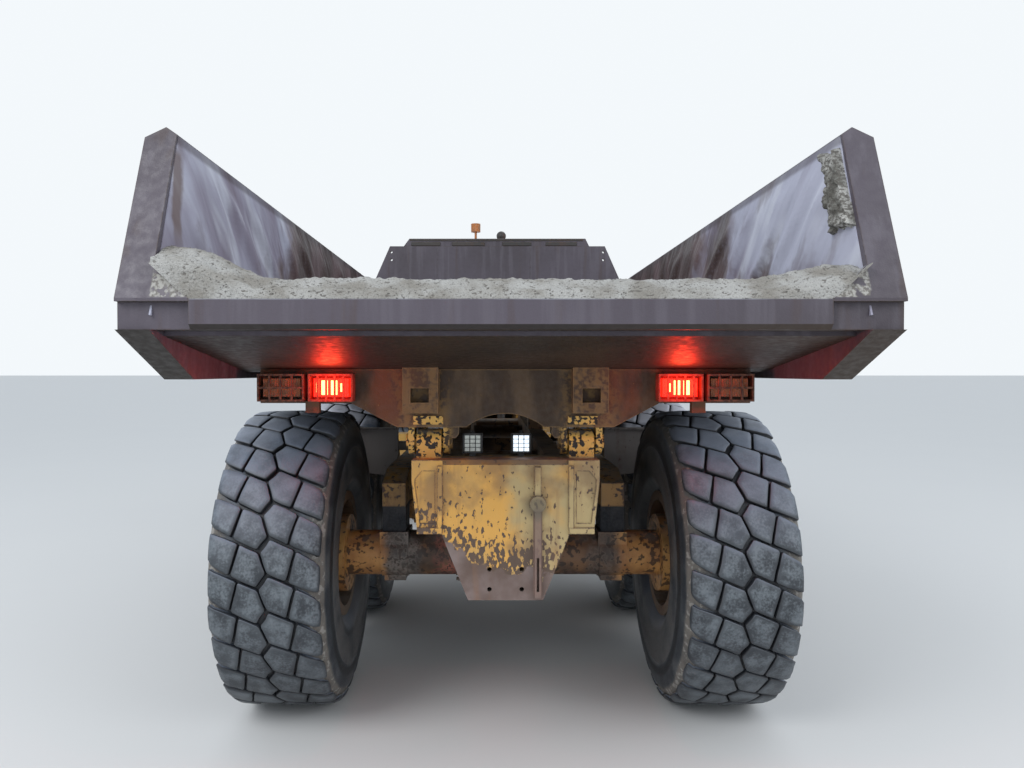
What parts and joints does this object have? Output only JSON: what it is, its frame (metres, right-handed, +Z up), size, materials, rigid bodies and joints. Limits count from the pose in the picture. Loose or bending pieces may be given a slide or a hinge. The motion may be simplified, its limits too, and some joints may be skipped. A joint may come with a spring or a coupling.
{
  "type": "articulated dump truck",
  "caption": "Articulated off-road dump truck with a tipping bed, bogie rear axles, a hinged tractor and a cab.",
  "frame": {"origin": "on the ground, under the middle of the length and width", "axes": "+Y forward, +X to the right, +Z up"},
  "size_m": [3, 10.23, 3.79],
  "materials": {
    "frame_paint": "chipped ochre paint with rust",
    "bed_paint": "dull grey-brown paint, rust streaks and frost",
    "axle_paint": "greasy ochre paint",
    "rim_paint": "dusty ochre paint",
    "grey_steel": "dull grey paint",
    "bare_steel": "dull greasy steel",
    "black_steel": "sooty black paint",
    "engine_iron": "oily casting",
    "rod_chrome": "ground and plated",
    "rubber": "weathered",
    "tyre": "worn, with pale dust",
    "black_plastic": "weathered",
    "amber_lamp": "dusty lens in a rusty cage",
    "red_lamp": "lit lens",
    "clear_lamp": "clear lens",
    "glass": "tinted",
    "seat_cloth": "woven, worn"
  },
  "bodies": {
    "rear_frame": {"rear_rails": "frame_paint", "frame_tail": "frame_paint", "walking_beams": "frame_paint", "spring_blocks": "rubber", "rear_axle": "axle_paint", "middle_axle": "axle_paint", "drive_shafts": "bare_steel", "mud_shields": "grey_steel", "work_lamps": "black_plastic"},
    "bed": {"bed_floor": "bed_paint", "bed_side_left": "bed_paint", "bed_side_right": "bed_paint", "bed_headboard": "bed_paint", "bed_lip": "bed_paint", "bed_bolster": "bed_paint", "lamp_cages": "black_steel", "tail_lenses": "red_lamp", "turn_lenses": "amber_lamp"},
    "hitch": {"hitch_yoke": "frame_paint"},
    "tractor": {"front_frame": "frame_paint", "front_axle": "axle_paint", "engine": "engine_iron", "cab_shell": "frame_paint", "cab_glass": "glass", "seat": "seat_cloth", "dash": "black_plastic", "fenders": "black_plastic", "bumper": "frame_paint", "head_lamps": "clear_lamp", "tank": "frame_paint", "mirrors": "black_plastic", "beacon": "amber_lamp", "exhaust": "black_steel"},
    "hood": {"hood": "frame_paint"},
    "door": {"cab_door": "frame_paint", "door_glass": "glass"},
    "hoist_barrel_left": {"hoist_barrel_left": "black_steel"},
    "hoist_rod_left": {"hoist_rod_left": "rod_chrome"},
    "steer_barrel_left": {"steer_barrel_left": "black_steel"},
    "steer_rod_left": {"steer_rod_left": "rod_chrome"},
    "hoist_barrel_right": {"hoist_barrel_right": "black_steel"},
    "hoist_rod_right": {"hoist_rod_right": "rod_chrome"},
    "steer_barrel_right": {"steer_barrel_right": "black_steel"},
    "steer_rod_right": {"steer_rod_right": "rod_chrome"},
    "wheel_rear_left": {"rim_rear_left": "rim_paint", "tyre_rear_left": "tyre"},
    "wheel_rear_right": {"rim_rear_right": "rim_paint", "tyre_rear_right": "tyre"},
    "wheel_middle_left": {"rim_middle_left": "rim_paint", "tyre_middle_left": "tyre"},
    "wheel_middle_right": {"rim_middle_right": "rim_paint", "tyre_middle_right": "tyre"},
    "wheel_front_left": {"rim_front_left": "rim_paint", "tyre_front_left": "tyre"},
    "wheel_front_right": {"rim_front_right": "rim_paint", "tyre_front_right": "tyre"}
  },
  "joints": [
    {"name": "roll", "type": "hinge", "parent": "rear_frame", "child": "hitch", "pos_m": [0, 0.8, 0.95], "axis": [0, 1, 0], "range_deg": [-12, 12]},
    {"name": "steer", "type": "hinge", "parent": "hitch", "child": "tractor", "pos_m": [0, 1.215, 0.95], "axis": [0, 0, 1], "range_deg": [-45, 45]},
    {"name": "bed_tip", "type": "hinge", "parent": "rear_frame", "child": "bed", "pos_m": [0, -4.03, 1.5], "axis": [1, 0, 0], "range_deg": [0, 70]},
    {"name": "hood_tilt", "type": "hinge", "parent": "tractor", "child": "hood", "pos_m": [0, 5, 1.01], "axis": [-1, 0, 0], "range_deg": [0, 60]},
    {"name": "door_swing", "type": "hinge", "parent": "tractor", "child": "door", "pos_m": [-0.752, 2.8, 1.9], "axis": [0, 0, -1], "range_deg": [0, 75]},
    {"name": "hoist_swing_left", "type": "hinge", "parent": "rear_frame", "child": "hoist_barrel_left", "pos_m": [-0.44, -0.85, 0.85], "axis": [1, 0, 0], "range_deg": [-20, 5]},
    {"name": "hoist_slide_left", "type": "slide", "parent": "hoist_barrel_left", "child": "hoist_rod_left", "axis": [0, -0.9379, 0.347], "range_m": [0, 1.52]},
    {"name": "steer_swing_left", "type": "hinge", "parent": "tractor", "child": "steer_barrel_left", "pos_m": [-0.42, 2.115, 0.95], "axis": [0, 0, 1], "range_deg": [-12, 12]},
    {"name": "steer_slide_left", "type": "slide", "parent": "steer_barrel_left", "child": "steer_rod_left", "axis": [0.1191, -0.9929, 0], "range_m": [-0.25, 0.25]},
    {"name": "hoist_swing_right", "type": "hinge", "parent": "rear_frame", "child": "hoist_barrel_right", "pos_m": [0.44, -0.85, 0.85], "axis": [1, 0, 0], "range_deg": [-20, 5]},
    {"name": "hoist_slide_right", "type": "slide", "parent": "hoist_barrel_right", "child": "hoist_rod_right", "axis": [0, -0.9379, 0.347], "range_m": [0, 1.52]},
    {"name": "steer_swing_right", "type": "hinge", "parent": "tractor", "child": "steer_barrel_right", "pos_m": [0.42, 2.115, 0.95], "axis": [0, 0, 1], "range_deg": [-12, 12]},
    {"name": "steer_slide_right", "type": "slide", "parent": "steer_barrel_right", "child": "steer_rod_right", "axis": [-0.1191, -0.9929, 0], "range_m": [-0.25, 0.25]},
    {"name": "spin_rear_left", "type": "hinge", "parent": "rear_frame", "child": "wheel_rear_left", "pos_m": [-1.145, -3.415, 0.81], "axis": [1, 0, 0], "continuous": true},
    {"name": "spin_rear_right", "type": "hinge", "parent": "rear_frame", "child": "wheel_rear_right", "pos_m": [1.145, -3.415, 0.81], "axis": [1, 0, 0], "continuous": true},
    {"name": "spin_middle_left", "type": "hinge", "parent": "rear_frame", "child": "wheel_middle_left", "pos_m": [-1.145, -1.745, 0.81], "axis": [1, 0, 0], "continuous": true},
    {"name": "spin_middle_right", "type": "hinge", "parent": "rear_frame", "child": "wheel_middle_right", "pos_m": [1.145, -1.745, 0.81], "axis": [1, 0, 0], "continuous": true},
    {"name": "spin_front_left", "type": "hinge", "parent": "tractor", "child": "wheel_front_left", "pos_m": [-1.145, 2.425, 0.81], "axis": [1, 0, 0], "continuous": true},
    {"name": "spin_front_right", "type": "hinge", "parent": "tractor", "child": "wheel_front_right", "pos_m": [1.145, 2.425, 0.81], "axis": [1, 0, 0], "continuous": true}
  ],
  "couplings": [
    {"joint": "hoist_swing_left", "follows": "bed_tip", "ratio": -0.2373},
    {"joint": "hoist_slide_left", "follows": "bed_tip", "m_per_rad": 1.2283},
    {"joint": "steer_swing_left", "follows": "steer", "ratio": -0.03338},
    {"joint": "steer_slide_left", "follows": "steer", "m_per_rad": -0.28287},
    {"joint": "hoist_swing_right", "follows": "bed_tip", "ratio": -0.2373},
    {"joint": "hoist_slide_right", "follows": "bed_tip", "m_per_rad": 1.2283},
    {"joint": "steer_swing_right", "follows": "steer", "ratio": -0.03338},
    {"joint": "steer_slide_right", "follows": "steer", "m_per_rad": 0.28287}
  ]
}
